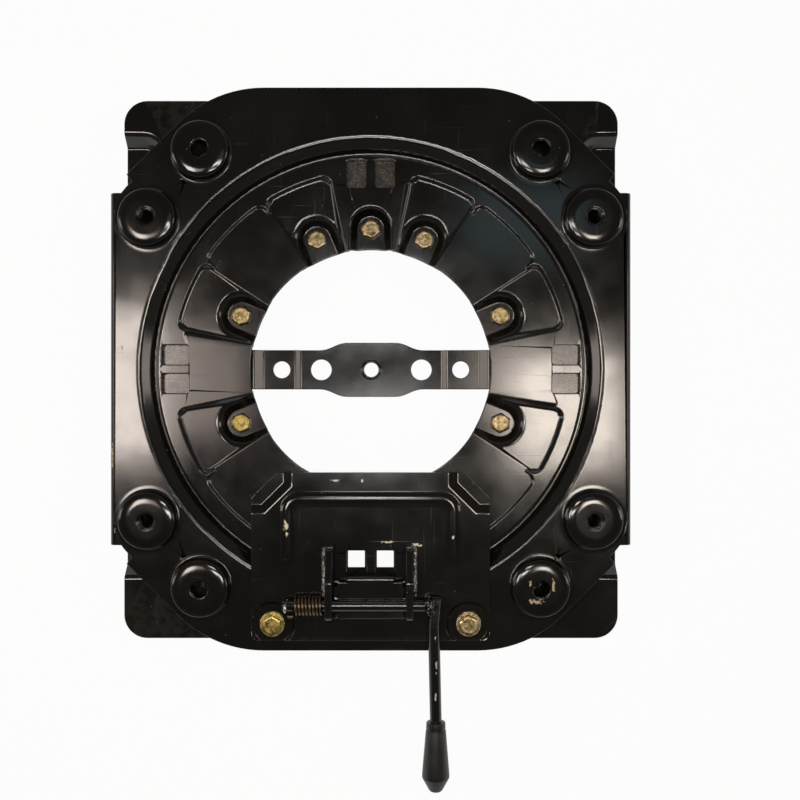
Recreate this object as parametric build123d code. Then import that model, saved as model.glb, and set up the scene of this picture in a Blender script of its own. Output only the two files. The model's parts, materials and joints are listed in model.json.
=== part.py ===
from build123d import *
import os
from math import atan2, cos, hypot, radians, sin, tan

# Swivel seat base: a pressed turntable plate that turns between a lower plate
# and a bolted retainer ring, with a sprung pawl that locks it every quarter turn.
# Millimetres, +Z up. Z is the swivel axis, Z = 0 the underside of the side rails,
# and -Y the front, where the lever reaches out.

# sheet and vertical stack
sheet = 3.0              # pressed steel of all plates
deck_rise = 10.5         # deck and end tabs above the side rails
lower_pad = 2.0          # glide pad between deck and turntable lip
run_gap = 0.3            # running clearance on each side of the lip
sector_gap = 0.4         # lip to the underside of the bolt sectors
sector_drop = 3.0        # bolt sectors below the ring's rim
blank_drop = 1.5         # plain sectors below the ring's rim
plate_gap = 1.0          # turntable top above the ring's rim
seam = 0.05              # clearance of a piece in a hole that locates it

deck_top = deck_rise + sheet
lip_bottom = deck_top + lower_pad + run_gap
lip_top = lip_bottom + sheet
rim_top = lip_top + sector_gap + sheet + sector_drop
rim_bottom = rim_top - sheet
seat_top = deck_top + sheet
plate_top = rim_top + plate_gap
plate_bottom = plate_top - sheet

# lower plate
base_width = 361.0
base_depth = 393.0
base_corner = 17.0       # corner radius
rail_width = 28.5        # from the deck edge out to the side of the plate
rear_tab = 24.5          # from the deck edge to the rear end of the plate
front_tab = 45.0         # from the deck edge to the front end of the plate
rail_corner = 15.0       # plan radius of the rail pockets
draw_angle = 45.0        # draft of the pressed steps
rail_draft = 38.0        # draft of the steps down to the rails
rail_bend = 5.0          # bend radius at the deck edge
rail_foot = 2.5          # bend radius at the rail
deck_hole_r = 89.0
deck_window = (40.0, 25.0)   # opening in front of the lock, across and radial
deck_window_y = -141.0
window_corner = 4.0
base_bolt_inset = 9.0    # bolt holes from the rail's outer side
base_bolt_y = 120.0
base_bolt_r = 4.5

# retainer ring
ring_r = 155.0
ring_hole_r = 87.0
ring_edge = 2.4          # rounding of the rim
sector_r = 143.5         # outer arc of the pressed sectors
sector_corner = 7.0
sector_bend = 1.6        # bend radius along the rim
tool_inner_r = 62.0      # pressed sectors run out through the centre hole
bolt_sectors = [(11.7, 33.0), (57.0, 78.3)]
blank_sector = (33.0, 57.0)
ridge_strip = 7.0        # width levelled between two neighbouring sectors
ridge_end_r = 134.0
bolt_circle_r = 102.0
bolt_angles = [22.5, 67.5, 90.0, 112.5, 157.5, 202.5, 247.5, 270.0, 292.5, 337.5]
station_bolts = [90.0, 270.0]
seat_half = 10.2         # flat of a bolt seat, half width
seat_foot = 1.6          # bend radius at the seat
sector_seat = (5.8, 5.5)     # a seat wall's plan width, and its bend at a sector
station_seat = (4.6, 2.8)    # the same at a lock station
station_step = 90.0      # lock stations round the ring
slot_inner = 131.0
slot_outer = 151.0
slot_bridge = 6.5        # web between the two slots of a station
slot_width = 14.2
slot_corner = 2.0

# glide pads
pad_start = 15.0         # each pad spans from this angle to the mirrored one
lower_pad_r = (138.0, 150.0)
upper_pad_r = (146.0, 152.0)

# turntable plate
plate_half_depth = 203.0
edge_half = 77.0         # straight front and rear edges
edge_arc_r = 88.0
tip_x = 176.0            # end of the 45 degree corner
vee_apex = (172.2, 135.4)
vee_end = (176.4, 131.4)
flange_half = 127.0      # turned-down side flanges
flange_lead = 3.5        # chamfer that leads from the vee to the flange
flange_x = 188.0
flange_height = 9.0
flange_bend = 4.2
lip_inner_r = 124.0
dish_foot_r = 157.0
dish_top_r = 166.6
dish_bend = 8.0
dish_foot_bend = 3.0
boss_height = 11.0
boss_base_r = 21.0
boss_top_r = 14.0
boss_bend = 9.0
boss_foot = 6.0
boss_hole_r = 6.2
corner_boss = (122.0, 157.0)
side_boss = (160.0, 108.5)
pilot_hole = (134.6, 135.4)
pilot_hole_r = 2.0
lip_window_inner = 4.4   # windows in the lip under the pawl
lip_window_outer = 16.6
lip_window_r = (131.0, 148.0)

# centre strap
strap_width = 29.0
strap_bulge = 40.0
strap_bulge_half = 17.5  # half length of the wide middle
strap_neck_x = 38.5      # where the bulge has run out
strap_end_x = 114.0
strap_step_x = (86.0, 79.5)  # first step, outer and inner ends
strap_mid_x = (56.0, 52.0)   # second step, outer and inner ends
strap_drop = 4.5
strap_mid_drop = 2.2
strap_bend = 3.0
strap_holes = [(0.0, 5.3), (37.0, 7.6), (66.0, 6.2)]
strap_dimple_r = 7.6
strap_dimple = 0.8
rivet_x = 102.0
rivet_y = 8.0
rivet_r = 2.5
rivet_head_r = 4.5
rivet_head = 2.2

# latch plate
latch_half = 85.7
latch_inner_y = -74.2
latch_outer_y = -195.0
latch_raise = 2.0        # panel above its bolt pads and corner pads
latch_chamfer = 18.0
chamfer_round = 2.0
corner_step = (29.3, 9.9)    # sunk corners: reach along an edge, straight part of the border
corner_slope = 72.0      # draft of the step down to them
latch_bolt = (70.4, -183.0)
latch_pad_r = 14.5
latch_corner = 6.0
latch_bend = 1.5         # bend radius round the bolt pads, at the panel
latch_foot = 1.0         # bend radius round the bolt pads, at the pad
step_bend = 6.0          # the same two at the corner pads
step_foot = 3.0
window_x = (-25.9, 24.6)
window_y = (-178.6, -125.3)
bead_x = 59.6            # centre line of the stiffening bead
bead_y = -93.4
bead_end_y = -144.0
bead_fade = 14.0         # length over which its ends run out
bead_corner = 9.0
bead_width = 11.4
bead_height = 1.9

# latch mechanism
axis_y = -168.5          # pivot of the pawl
axis_rise = 8.5          # pivot above the latch panel
shaft_r = 4.0
shaft_left = -62.5
lever_x = 46.8
ear_thickness = 5.0
ear_gap = 1.0            # ear set back from the window edge
ear_rear_y = -128.0
ear_front_y = -181.0
ear_head_r = 8.5
ear_tail = 6.5           # height of the ear's tail
weld_leg = 3.6
weld_end_y = -163.0
pawl_half = 23.4
pawl_front_y = -178.0
pawl_bend_y = -149.4
pawl_sheet = 3.0
pawl_bend = 3.2
tooth_lean = 34.0        # nose from the vertical with the pawl lifted
tooth_lift = 0.5         # teeth above the rim with the pawl lifted
tooth_play = 0.5         # tooth to slot, each side
bridge_notch = 5.6       # depth of the notch over the web

# lever
lever_drop = 4.0         # slope of the lever, degrees
lever_back = 5.5         # rod end behind the pivot
lever_jog_y = -184.0
lever_jog = 1.6
lever_end_y = -303.0
rod_r = 4.2
weld_r = 6.6
weld_half = 3.4
grip_length = 51.0
grip_neck_r = 6.8
grip_big_r = 9.8
grip_big_at = 38.0       # from the neck
grip_shoulder = 2.5      # straight length at the widest place
grip_tip_r = 4.7
grip_round = 1.5
grip_bore = 36.0

# spring and split pin
wire_r = 1.0
coil_r = 6.2
coil_turns = 8
coil_pitch = 2.5
coil_end_x = -34.4       # spring end at the ear
coil_steps = 14          # straight lengths in a turn
leg_reach = 8.0
pin_x = -59.5
pin_r = 1.2
pin_tail = 7.0
pin_eye_r = 2.4

# fasteners
bolt_r = 4.0
bolt_flats = 13.0
bolt_head = 5.3
bolt_length = 16.0
bolt_hole_r = 4.3
head_chamfer = 0.8
nut_flats = 14.0
nut_height = 6.5
seat_nut_flats = 17.0
seat_nut_height = 8.0
seat_nut_bore_r = 5.0
washer_r = 9.0
washer_height = 1.6
spring_washer_r = 7.2
spring_washer_height = 2.0
spring_washer_cut = 1.4

axis_z = plate_top + latch_raise + sheet + axis_rise
latch_top = plate_top + latch_raise + sheet
quadrants = [0.0, 90.0, 180.0, 270.0]
corners = [(1, 1), (-1, 1), (-1, -1), (1, -1)]
far = 60.0               # reach of a cutting block beyond the sheet


def polar(radius, angle):
    return (radius * cos(radians(angle)), radius * sin(radians(angle)))


def turned(shape, angle):
    return Rot(0, 0, angle) * shape


def closed(*curves):
    edges = [edge for curve in curves for edge in curve.edges()]
    return make_face(edges)


def drawn_face(points, radii, depth):
    # a pressed section in (radius, height): the top line with its bends, and
    # the same line lowered by the sheet
    top = FilletPolyline(*points, radius=radii)
    low = Pos(0, -depth) * top
    return closed(top, low, Line(top @ 0, low @ 0), Line(top @ 1, low @ 1))


def turned_sheet(points, radii, depth=sheet):
    return revolve(Plane.XZ * drawn_face(points, radii, depth), axis=Axis.Z)


def plate(face, low, high):
    return extrude(Pos(0, 0, low) * face, amount=high - low)


def drafted(face, low, high, angle=draw_angle):
    # a cutting block whose outline is given at its top and draws in downwards
    return extrude(Pos(0, 0, high) * face, amount=low - high, taper=angle)


def hole(x, y, radius, low=-far, high=far):
    return Pos(x, y, (low + high) / 2) * Cylinder(radius, high - low)


def hex_prism(flats, low, high):
    face = RegularPolygon(flats / 2, 6, major_radius=False)
    return plate(face, low, high)


def hex_bolt(head_seat):
    # chamfered hexagon head above the seat, plain shank below it
    top = head_seat + bolt_head
    corner = bolt_flats / 2 / cos(radians(30))
    head = hex_prism(bolt_flats, head_seat, top)
    cone = Pos(0, 0, top - far / 2) * Cylinder(corner + 1, far)
    cone = chamfer(cone.edges().group_by(Axis.Z)[-1], length=head_chamfer,
                   length2=head_chamfer + 1 + corner - bolt_flats / 2)
    shank = hole(0, 0, bolt_r, head_seat - bolt_length, head_seat)
    return (head & cone) + chamfer(shank.edges().group_by(Axis.Z)[0], head_chamfer)


def weld_nut(flats, height, bore_r, top):
    return hex_prism(flats, top - height, top) - hole(0, 0, bore_r)


def group(solids):
    return Compound(children=list(solids))


def lower_plate():
    rail_x = base_width / 2 - rail_width
    rear_y = base_depth / 2 - rear_tab
    front_y = front_tab - base_depth / 2
    pocket = fillet(Rectangle(far + rail_width, rear_y - front_y).vertices(), rail_corner)
    pocket_x = rail_x + (far + rail_width) / 2
    pocket_y = (rear_y + front_y) / 2

    def level_edges(block, height):
        return [e for e in block.edges().filter_by(Plane.XY)
                if abs(e.center().Z - height) < 0.01 and abs(e.center().X) < base_width / 2 + 1
                and abs(e.center().Y) < base_depth / 2]

    def pressed(top):
        block = plate(Rectangle(base_width + far, base_depth + far), top - far, top)
        for side in (1, -1):
            block -= drafted(Pos(side * pocket_x, pocket_y) * pocket, top - deck_rise, top,
                             rail_draft)
        block = fillet(level_edges(block, top), rail_bend)
        return fillet(level_edges(block, top - deck_rise), rail_foot)

    outline = RectangleRounded(base_width, base_depth, base_corner)
    body = plate(outline, -1, deck_top + 1) & pressed(deck_top)
    body -= pressed(deck_top - sheet)
    body -= hole(0, 0, deck_hole_r)
    window = RectangleRounded(*deck_window, window_corner)
    body -= plate(Pos(0, deck_window_y) * window, -far, far)
    for angle in bolt_angles:
        body -= hole(*polar(bolt_circle_r, angle), bolt_hole_r)
    for sx, sy in corners:
        body -= hole(sx * (base_width / 2 - base_bolt_inset), sy * base_bolt_y, base_bolt_r)
    for side in (1, -1):
        for y in (rivet_y, -rivet_y):
            body -= hole(side * rivet_x, y, rivet_r + seam)
    return body


def sector(start, end, outer_r):
    a, b = polar(tool_inner_r, start), polar(outer_r, start)
    c, d = polar(outer_r, end), polar(tool_inner_r, end)
    middle = polar(outer_r, (start + end) / 2)
    face = closed(Line(a, b), ThreePointArc(b, middle, c), Line(c, d), Line(d, a))
    outer = face.vertices().sort_by(lambda v: hypot(v.X, v.Y))[-2:]
    return fillet(outer, sector_corner)


def bolt_seat(floor, run, bend):
    # the seat's pressed wall: turned round the bolt and carried on to the centre hole
    line = FilletPolyline((0, seat_top), (seat_half, seat_top),
                          (seat_half + run, floor), (far, floor),
                          radius=[seat_foot, bend])
    wall = line.edges().sort_by(Axis.X)[:-1]
    end = max((v for e in wall for v in e.vertices()), key=lambda v: v.X)
    cap = Line((end.X, floor), (0, floor))
    half = make_face([*wall, cap, Line((0, floor), (0, seat_top))])
    round_end = revolve(Plane.XZ * half, axis=Axis.Z)
    side = extrude(Plane.YZ * half, amount=-(bolt_circle_r - tool_inner_r))
    tool = round_end + side + mirror(side, about=Plane.XZ)
    return Pos(bolt_circle_r, 0, 0) * tool


def retainer_ring():
    low = [(a + q, b + q) for q in quadrants for a, b in bolt_sectors]
    plain = [(blank_sector[0] + q, blank_sector[1] + q) for q in quadrants]
    ridges = [edge + q for q in quadrants for edge in blank_sector]
    strip = Pos((tool_inner_r + ridge_end_r) / 2, 0) * Rectangle(
        ridge_end_r - tool_inner_r, ridge_strip)

    def pressed(radius, inner_r):
        block = hole(0, 0, radius, rim_top - far, rim_top) - hole(0, 0, inner_r)
        for spans, drop in ((low, sector_drop), (plain, blank_drop)):
            for a, b in spans:
                block -= drafted(sector(a, b, sector_r), rim_top - drop, rim_top)
        for angle in ridges:
            block -= turned(plate(strip, rim_top - blank_drop, rim_top), angle)
        rim = [e for e in block.edges() if e.bounding_box().min.Z > rim_top - 0.01
               and inner_r + 1 < hypot(e.center().X, e.center().Y) < sector_r + 1]
        block = fillet(rim, sector_bend)
        for angle in bolt_angles:
            if angle in station_bolts:
                seat = bolt_seat(rim_top, *station_seat)
            else:
                seat = bolt_seat(rim_top - sector_drop, *sector_seat)
            block -= turned(seat, angle)
        return block

    body = pressed(ring_r, ring_hole_r)
    body = fillet(body.edges().filter_by(GeomType.CIRCLE).group_by(SortBy.RADIUS)[-1]
                  .group_by(Axis.Z)[-1], ring_edge)
    body -= Pos(0, 0, -sheet) * pressed(ring_r + far, ring_hole_r - 1)
    slot_length = slot_outer - slot_inner
    slot = RectangleRounded(slot_length, slot_width, slot_corner)
    for angle in quadrants:
        for side in (1, -1):
            place = Pos(slot_inner + slot_length / 2, side * (slot_bridge + slot_width) / 2)
            body -= turned(plate(place * slot, -far, far), angle)
    for angle in bolt_angles:
        body -= hole(*polar(bolt_circle_r, angle), bolt_hole_r)
    return body


def glide_pads(radii, low, high):
    inner, outer = radii
    span = station_step - 2 * pad_start
    a, b = polar(inner, -span / 2), polar(outer, -span / 2)
    c, d = polar(outer, span / 2), polar(inner, span / 2)
    face = closed(Line(a, b), ThreePointArc(b, (outer, 0), c), Line(c, d),
                  ThreePointArc(d, (inner, 0), a))
    pad = plate(face, low, high)
    return group(turned(pad, q + station_step / 2) for q in quadrants)


def plate_outline():
    arc_y = plate_half_depth - edge_arc_r
    corner_x, corner_y = polar(edge_arc_r, 45)
    corner_x, corner_y = corner_x + edge_half, corner_y + arc_y
    flat_x = flange_x - flange_bend
    tip = (tip_x, corner_y - (tip_x - corner_x))
    lead = (vee_end[0] + flange_lead, flange_half)
    arc = CenterArc((edge_half, arc_y), edge_arc_r, 90, -45)
    quarter = [Line((0, plate_half_depth), (edge_half, plate_half_depth)), arc,
               Polyline((corner_x, corner_y), tip, vee_apex, vee_end, lead,
                        (flat_x, flange_half), (flat_x, 0))]
    half = quarter + [mirror(c, about=Plane.XZ) for c in quarter]
    return closed(*half, *[mirror(c, about=Plane.YZ) for c in half])


def seat_boss():
    run = boss_base_r - boss_top_r
    lead = boss_foot * tan(atan2(boss_height, run) / 2)
    points = [(boss_hole_r, boss_height), (boss_top_r, boss_height), (boss_base_r, 0),
              (boss_base_r + lead + 0.6, 0)]
    return Pos(0, 0, plate_top) * turned_sheet(points, [boss_bend, boss_foot])


def side_flange():
    flat_x = flange_x - flange_bend
    low = plate_top - flange_height
    bend = (flat_x, plate_top - flange_bend)
    outer = CenterArc(bend, flange_bend, 90, -90)
    inner = CenterArc(bend, flange_bend - sheet, 90, -90)
    face = closed(outer, inner, Line(outer @ 0, inner @ 0),
                  Polyline(outer @ 1, (flange_x, low), (flange_x - sheet, low), inner @ 1))
    return extrude(Plane.XZ * face, amount=flange_half, both=True)


def upper_plate():
    slope = atan2(plate_top - lip_top, dish_top_r - dish_foot_r)
    dish_out = dish_top_r + dish_bend * tan(slope / 2) + 0.5
    dish = [(lip_inner_r, lip_top), (dish_foot_r, lip_top), (dish_top_r, plate_top),
            (dish_out, plate_top)]
    boss = seat_boss()
    boss_out = boss.bounding_box().max.X
    places = [(sx * x, sy * y) for x, y in (corner_boss, side_boss) for sx, sy in corners]
    body = plate(plate_outline(), plate_bottom, plate_top) - hole(0, 0, dish_out)
    for x, y in places:
        body -= hole(x, y, boss_out)
    body += turned_sheet(dish, [dish_foot_bend, dish_bend])
    for x, y in places:
        body += Pos(x, y) * boss
    flange = side_flange()
    body += flange
    body += mirror(flange, about=Plane.YZ)
    for sx, sy in corners:
        body -= hole(sx * pilot_hole[0], sy * pilot_hole[1], pilot_hole_r)
    window = Rectangle(lip_window_outer - lip_window_inner, lip_window_r[1] - lip_window_r[0])
    for side in (1, -1):
        place = Pos(side * (lip_window_inner + lip_window_outer) / 2, -sum(lip_window_r) / 2)
        body -= plate(place * window, -far, far)
        body -= hole(side * latch_bolt[0], latch_bolt[1], bolt_hole_r)
    return body


def centre_strap():
    under = deck_top - sheet
    mid = under - strap_drop
    low = mid - strap_mid_drop
    half = [(0, low), (strap_mid_x[1], low), (strap_mid_x[0], mid), (strap_step_x[1], mid),
            (strap_step_x[0], under), (strap_end_x, under)]
    points = [(-x, z) for x, z in reversed(half[1:])] + half[1:]
    side = drawn_face(points, [strap_bend] * 8, sheet)
    band = extrude(Plane.XZ * side, amount=strap_bulge, both=True)
    flare = Spline((strap_neck_x, strap_width / 2), (strap_bulge_half, strap_bulge / 2),
                   tangents=[(-1, 0), (-1, 0)])
    quarter = [Line((0, strap_bulge / 2), flare @ 1), flare,
               Polyline(flare @ 0, (strap_end_x, strap_width / 2), (strap_end_x, 0))]
    edges = quarter + [mirror(c, about=Plane.XZ) for c in quarter]
    outline = closed(*edges, *[mirror(c, about=Plane.YZ) for c in edges])
    body = band & plate(outline, -far, far)
    dimple = Pos(0, 0, low) * Cone(strap_dimple_r, strap_dimple_r - strap_dimple, 2 * strap_dimple)
    body += dimple
    for x, radius in strap_holes:
        for side_x in {x, -x}:
            body -= hole(side_x, 0, radius)
    for side_x in (rivet_x, -rivet_x):
        for y in (rivet_y, -rivet_y):
            body -= hole(side_x, y, rivet_r + seam)
    return body


def strap_rivets():
    top = deck_top
    low = deck_top - 2 * sheet
    dome = rivet_head_r
    profile = closed(Line((0, low - rivet_head), (rivet_r, low - rivet_head)),
                     Line((rivet_r, low - rivet_head), (dome, low)),
                     Polyline((dome, low), (rivet_r, low), (rivet_r, top), (dome, top)),
                     Line((dome, top), (rivet_r, top + rivet_head)),
                     Polyline((rivet_r, top + rivet_head), (0, top + rivet_head),
                              (0, low - rivet_head)))
    rivet = revolve(Plane.XZ * profile, axis=Axis.Z)
    return group(Pos(sx * rivet_x, sy * rivet_y) * rivet for sx, sy in corners)


def sunk_corner():
    # runs out over both edges of the plate, with a border at 45 degrees between them
    reach, straight = corner_step
    x, y = latch_half, latch_inner_y
    points = [(x + far, y - reach), (x - straight, y - reach), (x - reach, y - straight),
              (x - reach, y + far), (x + far, y + far)]
    return make_face(Polyline(*points, points[0]).edges())


def latch_plate():
    cut = latch_chamfer
    outline = Polyline((-latch_half, latch_outer_y), (latch_half, latch_outer_y),
                       (latch_half, latch_inner_y - cut), (latch_half - cut, latch_inner_y),
                       (-latch_half + cut, latch_inner_y), (-latch_half, latch_inner_y - cut),
                       (-latch_half, latch_outer_y))
    face = make_face(outline.edges())
    face = fillet(face.vertices().group_by(Axis.Y)[0], latch_corner)
    face = fillet(face.vertices().sort_by(Axis.Y)[-4:], chamfer_round)
    path = FilletPolyline((-bead_x, bead_end_y), (-bead_x, bead_y), (bead_x, bead_y),
                          (bead_x, bead_end_y), radius=bead_corner)
    half = closed(ThreePointArc((0, bead_height), (bead_width / 4, bead_height * 0.75),
                                (bead_width / 2, 0)),
                  Polyline((bead_width / 2, 0), (bead_width / 2, -sheet), (0, -sheet),
                           (0, bead_height)))
    full = half + mirror(half, about=Plane.YZ)
    section = Pos(-bead_x, bead_end_y, latch_top) * (Plane.XZ * full)
    bead = sweep(section, path=Pos(0, 0, latch_top) * path)
    sink = bead_height / 4
    run_out = [(bead_end_y, latch_top - sink), (bead_end_y + bead_fade, latch_top + bead_height + sink),
               (bead_end_y, latch_top + far), (bead_end_y - far, latch_top + far),
               (bead_end_y - far, latch_top - sink)]
    run_out = make_face(Polyline(*run_out, run_out[0]).edges())
    bead -= extrude(Plane.YZ * run_out, amount=2 * bead_x, both=True)

    middle_y = (latch_inner_y + latch_outer_y) / 2
    pressed = plate(Pos(0, middle_y) * Rectangle(4 * latch_half, 4 * latch_half),
                    latch_top - far, latch_top)
    pad = Pos(*latch_bolt) * Circle(latch_pad_r + latch_raise)
    steps = [(pad, draw_angle, latch_foot, latch_bend),
             (sunk_corner(), corner_slope, step_foot, step_bend)]

    def near_plate(edges):
        return [e for e in edges if abs(e.center().X) < latch_half + far / 2
                and e.center().Y < latch_inner_y + far / 2]

    for border, angle, foot, bend in steps:
        tool = drafted(border, latch_top - latch_raise, latch_top, angle)
        tool = fillet(near_plate(tool.edges().group_by(Axis.Z)[0]), foot)
        before = [e.center() for e in pressed.edges()]
        pressed = pressed - tool - mirror(tool, about=Plane.YZ)
        rim = [e for e in near_plate(pressed.edges()) if e.bounding_box().min.Z > latch_top - 0.01]
        new = [e for e in rim if all((e.center() - c).length > 0.01 for c in before)]
        pressed = fillet(new, bend)
    pressed += bead
    body = plate(face, plate_top - sheet, latch_top + far) & pressed
    body -= Pos(0, 0, -sheet) * pressed
    window = Rectangle(window_x[1] - window_x[0], window_y[1] - window_y[0])
    place = Pos((window_x[0] + window_x[1]) / 2, (window_y[0] + window_y[1]) / 2)
    body -= plate(place * window, -far, far)
    for side in (1, -1):
        body -= hole(side * latch_bolt[0], latch_bolt[1], bolt_hole_r)
    return body


def ear(inner_x, outward):
    # side profile in (Y, Z): round head over the pivot, low tail to the rear
    head = ear_head_r
    rear, front = ear_rear_y, ear_front_y
    low = latch_top
    outline = Polyline((front, low), (rear, low), (rear, low + ear_tail),
                       (axis_y + 2 * head, axis_z + head), (axis_y - head, axis_z + head),
                       (front, axis_z - head / 2), (front, low))
    face = make_face(outline.edges())
    rounded = [v for v in face.vertices() if v.Y > low + 1]
    face = fillet(rounded, ear_head_r / 2)
    face -= Pos(axis_y, axis_z) * Circle(shaft_r + seam)
    solid = extrude(Plane.YZ * face, amount=ear_thickness * outward)
    return Pos(inner_x, 0, 0) * solid


def ear_welds():
    beads = []
    for x, outward in ((window_x[0] - ear_gap - ear_thickness, -1),
                       (window_x[1] + ear_gap + ear_thickness, 1)):
        leg = weld_leg * outward
        run = closed(Line((x, latch_top), (x + leg, latch_top)),
                     ThreePointArc((x + leg, latch_top), (x + leg * 0.6, latch_top + weld_leg * 0.6),
                                   (x, latch_top + weld_leg)),
                     Line((x, latch_top + weld_leg), (x, latch_top)))
        bead = extrude(Plane.XZ * run, amount=ear_rear_y - weld_end_y)
        beads.append(Pos(0, ear_rear_y, 0) * bead)
    return group(beads)


def pawl():
    top = axis_z - shaft_r
    tip_z = rim_top + tooth_lift
    lean = tan(radians(tooth_lean))
    tip_y = pawl_bend_y + (top - tip_z) * lean
    deep = 3 * pawl_sheet
    line = FilletPolyline((pawl_front_y, top), (pawl_bend_y, top),
                          (tip_y + deep * lean, tip_z - deep), radius=pawl_bend)
    nose_cut = Pos((pawl_front_y + tip_y) / 2, tip_z - far / 2) * Rectangle(3 * far, far)
    under = offset(line, pawl_sheet, side=Side.RIGHT)
    face = make_face(under.edges()) - nose_cut
    body = extrude(Plane.YZ * face, amount=pawl_half, both=True)
    tooth_outer = slot_bridge / 2 + slot_width - tooth_play
    for side in (1, -1):
        trim = Pos(side * (tooth_outer + far / 2), pawl_bend_y - pawl_bend + far / 2)
        body -= plate(trim * Rectangle(far, far), -far, far)
    notch = Rectangle(slot_bridge + 2 * tooth_play, far)
    body -= plate(Pos(0, tip_y) * notch, tip_z - far, tip_z + bridge_notch)
    return body


def pawl_welds():
    # fillets between the shaft and the plate under it, front and rear
    top = axis_z - shaft_r
    corner = [(axis_y, top), (axis_y + shaft_r, top), (axis_y + shaft_r * 0.8, top + shaft_r * 0.4)]
    run = make_face(Polyline(*corner, corner[0]).edges())
    run -= Pos(axis_y, axis_z) * Circle(shaft_r)
    bead = extrude(Plane.YZ * run, amount=pawl_half, both=True)
    return group([bead, Pos(0, 2 * axis_y, 0) * mirror(bead, about=Plane.XZ)])


def latch_shaft():
    length = lever_x - lever_jog - rod_r - shaft_left
    solid = Pos(shaft_left + length / 2, axis_y, axis_z) * Rot(0, 90, 0) * Cylinder(shaft_r, length)
    solid = chamfer(solid.edges().group_by(Axis.X)[0], head_chamfer)
    return solid - Pos(pin_x, axis_y, axis_z) * Cylinder(pin_r + seam, far)


def lever_height(y):
    return axis_z + (y - axis_y) * tan(radians(lever_drop))


def lever_rod():
    stop = lever_end_y + grip_length - (grip_bore - seam) * cos(radians(lever_drop))
    spots = [(lever_x, axis_y + lever_back), (lever_x - lever_jog, lever_jog_y),
             (lever_x, lever_end_y + grip_length), (lever_x, stop)]
    path = FilletPolyline(*[(x, y, lever_height(y)) for x, y in spots], radius=2 * rod_r)
    start = Plane(origin=path @ 0, z_dir=path % 0)
    return sweep(start * Circle(rod_r), path=path)


def grip_frame():
    y = lever_end_y + grip_length
    return Plane(origin=(lever_x, y, lever_height(y)), x_dir=(1, 0, 0),
                 z_dir=(0, -1, -tan(radians(lever_drop))))


def lever_grip():
    long = grip_length
    side = FilletPolyline((grip_neck_r, 0), (grip_big_r, grip_big_at),
                          (grip_big_r, grip_big_at + grip_shoulder), (grip_tip_r, long), (0, long),
                          radius=grip_round)
    bore = rod_r + seam
    profile = closed(side, Polyline((0, long), (0, grip_bore), (bore, grip_bore), (bore, 0),
                                    (grip_neck_r, 0)))
    return grip_frame() * revolve(Plane.XZ * profile, axis=Axis.Z)


def lever_weld():
    length = 2 * weld_half
    middle = lever_x - rod_r
    bead = Pos(middle, axis_y, axis_z) * Rot(0, 90, 0) * Cylinder(weld_r, length)
    bead = fillet(bead.edges().filter_by(GeomType.CIRCLE), weld_half * 0.9)
    return bead - latch_shaft() - lever_rod()


def torsion_spring():
    start_x = coil_end_x
    points = [(start_x, axis_y - coil_r, latch_top),
              (start_x, axis_y - coil_r, axis_z - coil_r / 2)]
    total = coil_turns * coil_steps
    for i in range(total + 1):
        angle = radians(180 - 360 * i / coil_steps)
        x = start_x - coil_pitch * i / coil_steps
        points.append((x, axis_y + coil_r * cos(angle), axis_z + coil_r * sin(angle)))
    x = points[-1][0]
    points.append((x, axis_y - coil_r, axis_z + leg_reach))
    points.append((x - coil_pitch, axis_y - coil_r, axis_z + leg_reach))
    path = Polyline(*points)
    section = Plane(origin=path @ 0, z_dir=path % 0) * RegularPolygon(wire_r, 6)
    return sweep(section, path=path, transition=Transition.RIGHT)


def split_pin():
    shank = Pos(pin_x, axis_y, axis_z) * Cylinder(pin_r, 2 * pin_tail)
    eye = Pos(pin_x, axis_y, axis_z + pin_tail + pin_eye_r) * Rot(0, 90, 0) * Torus(pin_eye_r, pin_r)
    return shank + eye


def ring_bolts():
    bolt = hex_bolt(seat_top)
    return group(turned(Pos(bolt_circle_r, 0, 0) * bolt, a) for a in bolt_angles)


def ring_weld_nuts():
    nut = weld_nut(nut_flats, nut_height, bolt_r + seam, deck_top - sheet)
    return group(turned(Pos(bolt_circle_r, 0, 0) * nut, a) for a in bolt_angles)


def latch_pair(solid):
    return group(Pos(side * latch_bolt[0], latch_bolt[1]) * solid for side in (1, -1))


pad_top = plate_top + sheet
washer_top = pad_top + washer_height
stack_top = washer_top + spring_washer_height
flat_washer = hole(0, 0, washer_r, pad_top, washer_top) - hole(0, 0, bolt_hole_r)
lock_washer = hole(0, 0, spring_washer_r, washer_top, stack_top) - hole(0, 0, bolt_hole_r)
lock_washer -= Pos(spring_washer_r, 0, washer_top) * Box(
    2 * spring_washer_r, spring_washer_cut, 4 * spring_washer_height)
seat_nut = weld_nut(seat_nut_flats, seat_nut_height, seat_nut_bore_r,
                    plate_top + boss_height - sheet)

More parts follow.
